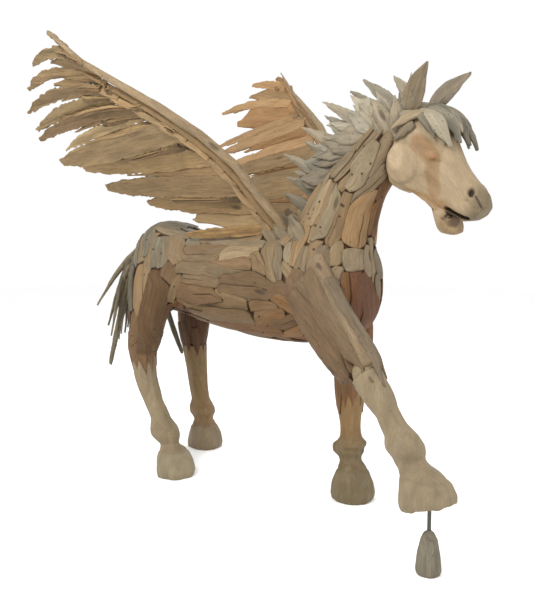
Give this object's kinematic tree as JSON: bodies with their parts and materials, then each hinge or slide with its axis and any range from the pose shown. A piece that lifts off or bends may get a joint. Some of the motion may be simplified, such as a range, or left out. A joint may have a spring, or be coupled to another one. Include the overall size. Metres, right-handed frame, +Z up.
{
  "type": "winged horse sculpture",
  "caption": "Life-size prancing horse with raised wings, built from driftwood boards with a carved head and legs, one foreleg lifted on a rod and peg.",
  "frame": {"origin": "middle of the footprint box, on the ground", "axes": "+X the way the horse faces, +Y its left side, +Z up"},
  "size_m": [2.44, 1.6416, 2.3241],
  "materials": {
    "carved_wood": "smooth carved, matt",
    "tan_driftwood": "weathered driftwood",
    "grey_driftwood": "weathered driftwood",
    "brown_driftwood": "weathered driftwood",
    "wing_driftwood": "weathered driftwood",
    "mane_driftwood": "bleached driftwood",
    "steel": "dull"
  },
  "bodies": {
    "root": {"head": "carved_wood", "neck": "grey_driftwood", "body": "tan_driftwood", "lower_foreleg_right": "carved_wood", "lower_foreleg_left": "carved_wood", "lower_hindleg_right": "carved_wood", "lower_hindleg_left": "carved_wood", "upper_foreleg_right_rear_board": "brown_driftwood", "upper_foreleg_right_front_board": "grey_driftwood", "upper_foreleg_left": "brown_driftwood", "thigh_right": "brown_driftwood", "thigh_left": "brown_driftwood", "wooden_peg": "carved_wood", "steel_rod": "steel", "ear_right": "tan_driftwood", "ear_left": "tan_driftwood", "forelock_shard_1": "mane_driftwood", "forelock_shard_2": "mane_driftwood", "forelock_shard_3": "mane_driftwood", "forelock_shard_4": "mane_driftwood", "mane_shard_1": "mane_driftwood", "mane_shard_2": "mane_driftwood", "mane_shard_3": "mane_driftwood", "mane_shard_4": "mane_driftwood", "mane_shard_5": "mane_driftwood", "mane_shard_6": "mane_driftwood", "mane_shard_7": "mane_driftwood", "mane_shard_8": "mane_driftwood", "mane_shard_9": "mane_driftwood", "mane_shard_10": "mane_driftwood", "tail_stick_1": "grey_driftwood", "tail_stick_2": "grey_driftwood", "tail_stick_3": "grey_driftwood", "tail_stick_4": "grey_driftwood", "wing_right_outer_strip": "wing_driftwood", "wing_right_inner_strip": "wing_driftwood", "wing_right_feather_1": "wing_driftwood", "wing_right_feather_2": "wing_driftwood", "wing_right_feather_3": "wing_driftwood", "wing_right_feather_4": "wing_driftwood", "wing_right_feather_5": "wing_driftwood", "wing_right_feather_6": "wing_driftwood", "wing_right_feather_7": "wing_driftwood", "wing_right_feather_8": "wing_driftwood", "wing_right_feather_9": "wing_driftwood", "wing_right_feather_10": "wing_driftwood", "wing_right_feather_11": "wing_driftwood", "wing_right_feather_12": "wing_driftwood", "wing_left_outer_strip": "wing_driftwood", "wing_left_inner_strip": "wing_driftwood", "wing_left_feather_1": "wing_driftwood", "wing_left_feather_2": "wing_driftwood", "wing_left_feather_3": "wing_driftwood", "wing_left_feather_4": "wing_driftwood", "wing_left_feather_5": "wing_driftwood", "wing_left_feather_6": "wing_driftwood", "wing_left_feather_7": "wing_driftwood", "wing_left_feather_8": "wing_driftwood", "wing_left_feather_9": "wing_driftwood"}
  },
  "joints": []
}
